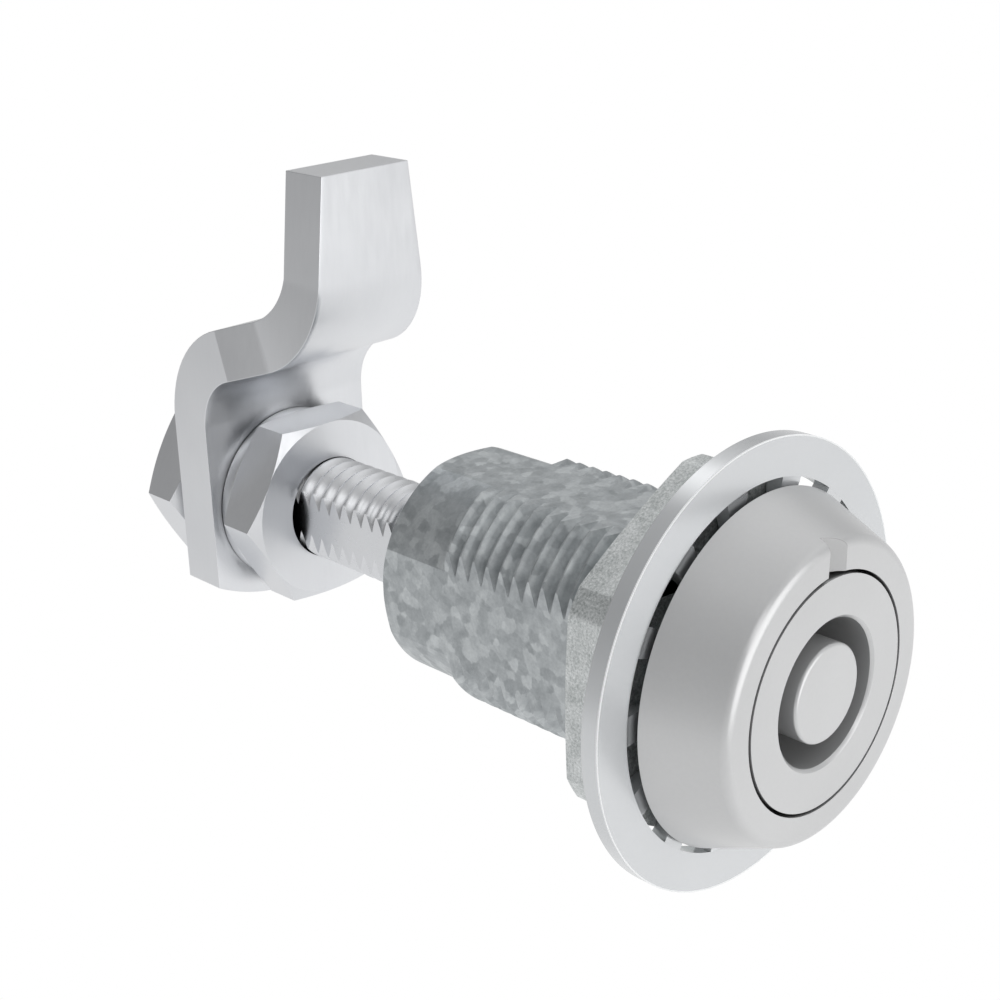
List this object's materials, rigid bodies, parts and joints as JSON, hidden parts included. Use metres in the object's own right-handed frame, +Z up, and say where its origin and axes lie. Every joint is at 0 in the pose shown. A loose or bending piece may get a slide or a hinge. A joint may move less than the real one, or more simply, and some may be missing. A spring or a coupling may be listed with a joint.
{
  "type": "compression latch",
  "caption": "Compression latch with a round keyed head, a toothed washer and nut on a flatted threaded barrel, and a cranked arm clamped on a threaded shaft.",
  "frame": {"origin": "on the latch's axis, in the plane where the rim of the head sits on the panel", "axes": "+Y along the axis from the head into the cabinet, +Z up towards the tip of the arm at rest, +X to the right seen from the head"},
  "size_m": [0.0374, 0.0784, 0.0528],
  "materials": {
    "head_metal": "satin coated zinc casting",
    "insert_metal": "satin coated zinc casting",
    "barrel_zinc": "mottled zinc",
    "nut_zinc": "fine speckled zinc",
    "ring_steel": "bright satin",
    "arm_steel": "bright satin",
    "shaft_steel": "bright satin",
    "machined_steel": "machined",
    "spring_steel": "phosphated",
    "seal_rubber": "matt"
  },
  "bodies": {
    "housing": {"head_bezel": "head_metal", "rim_seal": "seal_rubber", "threaded_barrel": "barrel_zinc", "stem_seal": "seal_rubber", "toothed_ring": "ring_steel", "mounting_nut": "nut_zinc", "stop_pin": "machined_steel", "collar_clip": "spring_steel"},
    "guide": {"guide_collar": "machined_steel", "thrust_washer": "machined_steel"},
    "driver": {"drive_insert": "insert_metal", "stem_clip": "spring_steel", "cam_sleeve": "machined_steel", "drive_pin": "machined_steel"},
    "shaft": {"latch_shaft": "shaft_steel", "cross_pin": "machined_steel", "spring_seat": "machined_steel", "return_spring": "spring_steel", "cam_arm": "arm_steel", "cam_washers": "arm_steel", "cam_nuts": "arm_steel"}
  },
  "joints": [
    {"name": "arm_swing", "type": "hinge", "parent": "housing", "child": "guide", "pos_m": [0, 0, 0], "axis": [0, 1, 0], "range_deg": [0, 90]},
    {"name": "clamp_turn", "type": "hinge", "parent": "guide", "child": "driver", "pos_m": [0, 0, 0], "axis": [0, 1, 0], "range_deg": [0, 90]},
    {"name": "clamp_draw", "type": "slide", "parent": "guide", "child": "shaft", "axis": [0, -1, 0], "range_m": [0, 0.006], "deforming": ["return_spring"]}
  ],
  "couplings": [
    {"joint": "clamp_turn", "follows": "clamp_draw", "rad_per_m": 261.79}
  ]
}
